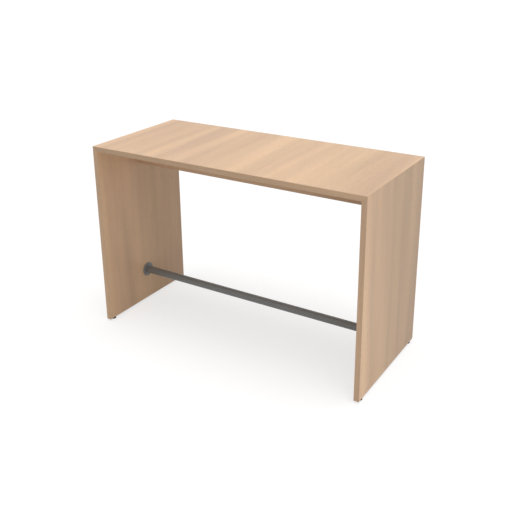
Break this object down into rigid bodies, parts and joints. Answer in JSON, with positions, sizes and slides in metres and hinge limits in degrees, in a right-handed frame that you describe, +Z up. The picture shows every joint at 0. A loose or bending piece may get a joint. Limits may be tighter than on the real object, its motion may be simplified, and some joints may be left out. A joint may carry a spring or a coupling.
{
  "type": "standing meeting table",
  "caption": "Standing-height meeting table: mitred top and full-depth end panels in wood-decor board, rail below the top, round metal footrest bar, levelling glides.",
  "frame": {"origin": "on the floor under the middle of the top", "axes": "+X along the table, +Y towards its back, +Z up"},
  "size_m": [1.6, 0.7, 1.05],
  "materials": {
    "oak_decor": "matt light oak decor with fine straight grain",
    "edge_band": "satin wood-print edging, a little darker than the boards",
    "footrest_coat": "satin dark grey powder coat",
    "black_steel": "black zinc plate",
    "zinc_steel": "bright zinc plate",
    "zinc_casting": "plain zinc casting",
    "beech": "beech plywood tongue, unfinished",
    "glide_plastic": "moulded black plastic"
  },
  "bodies": {
    "table": {"centre_rail": "oak_decor", "centre_rail_band": "edge_band", "footrest_flange_screws": "black_steel", "footrest_grub_screws": "black_steel", "footrest_tube": "footrest_coat", "glide_inserts": "zinc_steel", "left_corner_bolts": "zinc_steel", "left_corner_cams": "zinc_casting", "left_corner_tongues": "beech", "left_footrest_flange": "footrest_coat", "left_panel": "oak_decor", "left_panel_back_band": "edge_band", "left_panel_bottom_band": "edge_band", "left_panel_front_band": "edge_band", "rail_end_bolts": "zinc_steel", "rail_end_cams": "zinc_casting", "rail_end_tongues": "beech", "rail_top_bolts": "zinc_steel", "rail_top_cams": "zinc_casting", "rail_top_tongues": "beech", "right_corner_bolts": "zinc_steel", "right_corner_cams": "zinc_casting", "right_corner_tongues": "beech", "right_footrest_flange": "footrest_coat", "right_panel": "oak_decor", "right_panel_back_band": "edge_band", "right_panel_bottom_band": "edge_band", "right_panel_front_band": "edge_band", "top_back_band": "edge_band", "top_board": "oak_decor", "top_front_band": "edge_band"},
    "front_left_pad": {"front_left_glide_pad": "glide_plastic"},
    "front_left_stem": {"front_left_glide_stem": "black_steel"},
    "front_right_pad": {"front_right_glide_pad": "glide_plastic"},
    "front_right_stem": {"front_right_glide_stem": "black_steel"},
    "back_left_pad": {"back_left_glide_pad": "glide_plastic"},
    "back_left_stem": {"back_left_glide_stem": "black_steel"},
    "back_right_pad": {"back_right_glide_pad": "glide_plastic"},
    "back_right_stem": {"back_right_glide_stem": "black_steel"}
  },
  "joints": [
    {"name": "front_left_glide_travel", "type": "slide", "parent": "table", "child": "front_left_pad", "axis": [0, 0, -1], "range_m": [0, 0.012]},
    {"name": "front_left_glide_turn", "type": "hinge", "parent": "front_left_pad", "child": "front_left_stem", "pos_m": [-0.786, -0.31, 0.005], "axis": [0, 0, -1], "range_deg": [0, 3456]},
    {"name": "front_right_glide_travel", "type": "slide", "parent": "table", "child": "front_right_pad", "axis": [0, 0, -1], "range_m": [0, 0.012]},
    {"name": "front_right_glide_turn", "type": "hinge", "parent": "front_right_pad", "child": "front_right_stem", "pos_m": [0.786, -0.31, 0.005], "axis": [0, 0, -1], "range_deg": [0, 3456]},
    {"name": "back_left_glide_travel", "type": "slide", "parent": "table", "child": "back_left_pad", "axis": [0, 0, -1], "range_m": [0, 0.012]},
    {"name": "back_left_glide_turn", "type": "hinge", "parent": "back_left_pad", "child": "back_left_stem", "pos_m": [-0.786, 0.31, 0.005], "axis": [0, 0, -1], "range_deg": [0, 3456]},
    {"name": "back_right_glide_travel", "type": "slide", "parent": "table", "child": "back_right_pad", "axis": [0, 0, -1], "range_m": [0, 0.012]},
    {"name": "back_right_glide_turn", "type": "hinge", "parent": "back_right_pad", "child": "back_right_stem", "pos_m": [0.786, 0.31, 0.005], "axis": [0, 0, -1], "range_deg": [0, 3456]}
  ],
  "couplings": [
    {"joint": "front_left_glide_turn", "follows": "front_left_glide_travel", "rad_per_m": 5026.5},
    {"joint": "front_right_glide_turn", "follows": "front_right_glide_travel", "rad_per_m": 5026.5},
    {"joint": "back_left_glide_turn", "follows": "back_left_glide_travel", "rad_per_m": 5026.5},
    {"joint": "back_right_glide_turn", "follows": "back_right_glide_travel", "rad_per_m": 5026.5}
  ]
}
